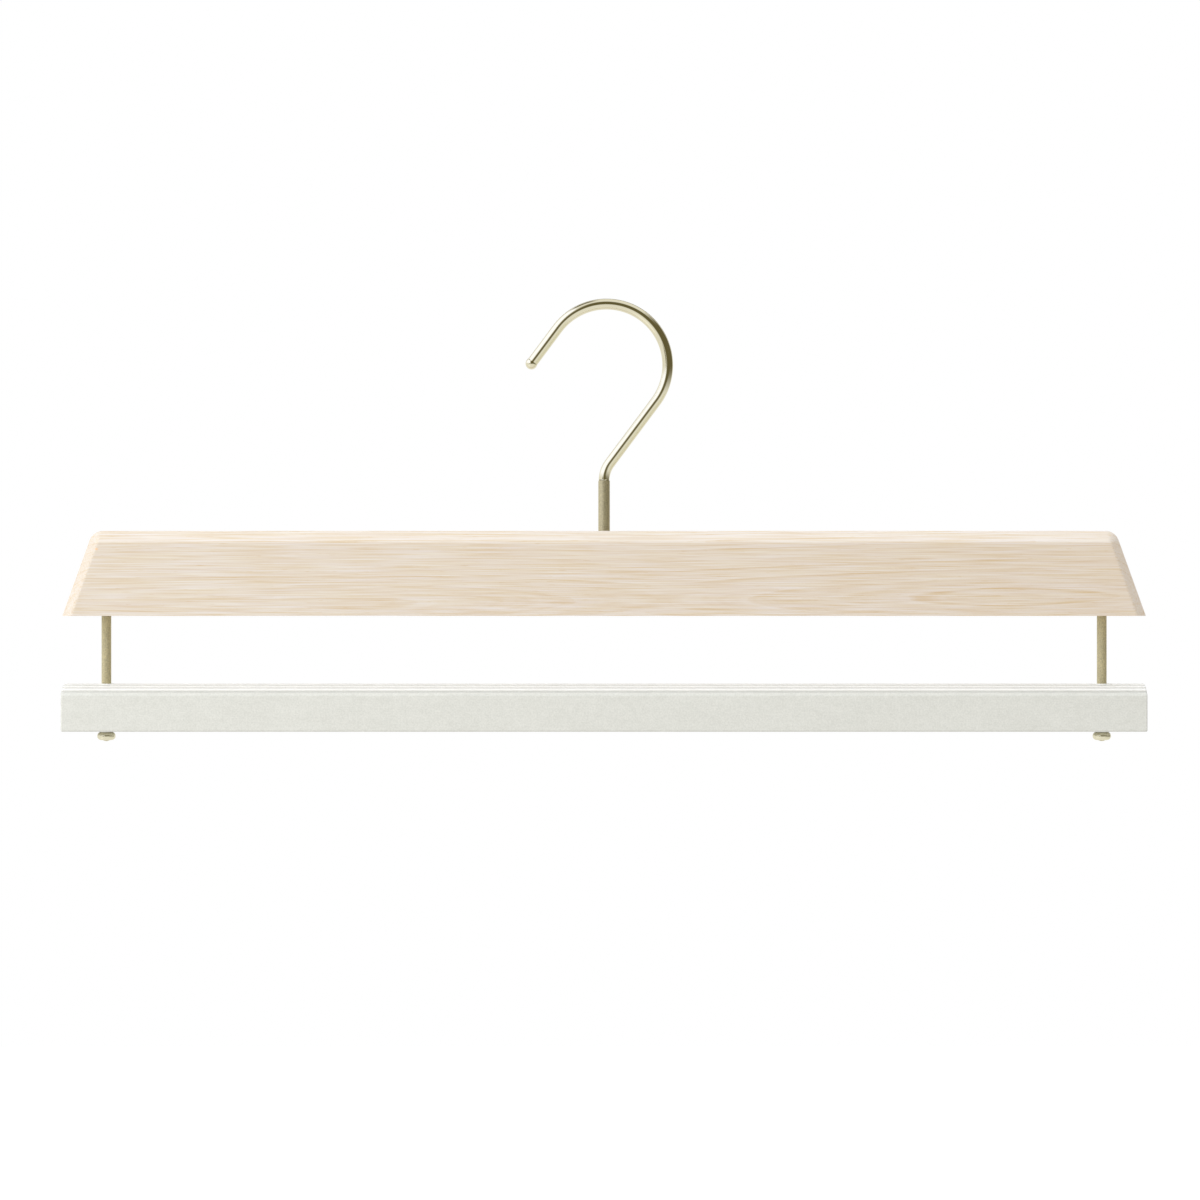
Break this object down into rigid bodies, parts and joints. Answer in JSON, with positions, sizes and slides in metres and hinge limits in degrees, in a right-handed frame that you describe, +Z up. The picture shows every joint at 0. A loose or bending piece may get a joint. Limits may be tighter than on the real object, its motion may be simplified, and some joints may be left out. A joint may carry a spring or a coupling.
{
  "type": "trouser hanger",
  "caption": "Straight wooden trouser hanger with a turning wire hook and a ribbed lower bar that slides up its rods.",
  "frame": {"origin": "on the swivel axis, at the top of the inside of the hook, where the rail carries it", "axes": "+Z up along the swivel axis, +X to the right seen from the front, front towards -Y"},
  "size_m": [0.45, 0.018, 0.1842],
  "materials": {
    "wood": "pale straight-grained wood, sanded, clear matt finish",
    "polished_gold": "steel plated in polished champagne gold",
    "satin_gold": "steel plated in champagne gold, fine satin grain",
    "zinc_steel": "bright zinc plated steel",
    "brass": "turned brass",
    "nylon": "natural nylon",
    "off_white_lacquer": "hardwood under a matt off-white lacquer with a fine grain"
  },
  "bodies": {
    "hook_body": {"hook": "polished_gold", "hook_washer": "zinc_steel", "hook_lock_nut": "zinc_steel", "lock_nut_ring": "nylon"},
    "hanger_body": {"wood_bar": "wood", "hook_sleeve": "satin_gold", "left_rod": "satin_gold", "right_rod": "satin_gold", "left_rod_insert": "brass", "right_rod_insert": "brass", "left_nut_washer": "nylon", "right_nut_washer": "nylon", "left_end_nut": "polished_gold", "right_end_nut": "polished_gold"},
    "bar_body": {"lower_bar": "off_white_lacquer", "left_bar_bush": "nylon", "right_bar_bush": "nylon"}
  },
  "joints": [
    {"name": "hook_swivel", "type": "hinge", "parent": "hook_body", "child": "hanger_body", "pos_m": [0, 0, -0.0923], "axis": [0, 0, 1], "continuous": true},
    {"name": "bar_slide", "type": "slide", "parent": "hanger_body", "child": "bar_body", "axis": [0, 0, 1], "range_m": [0, 0.0279]}
  ]
}
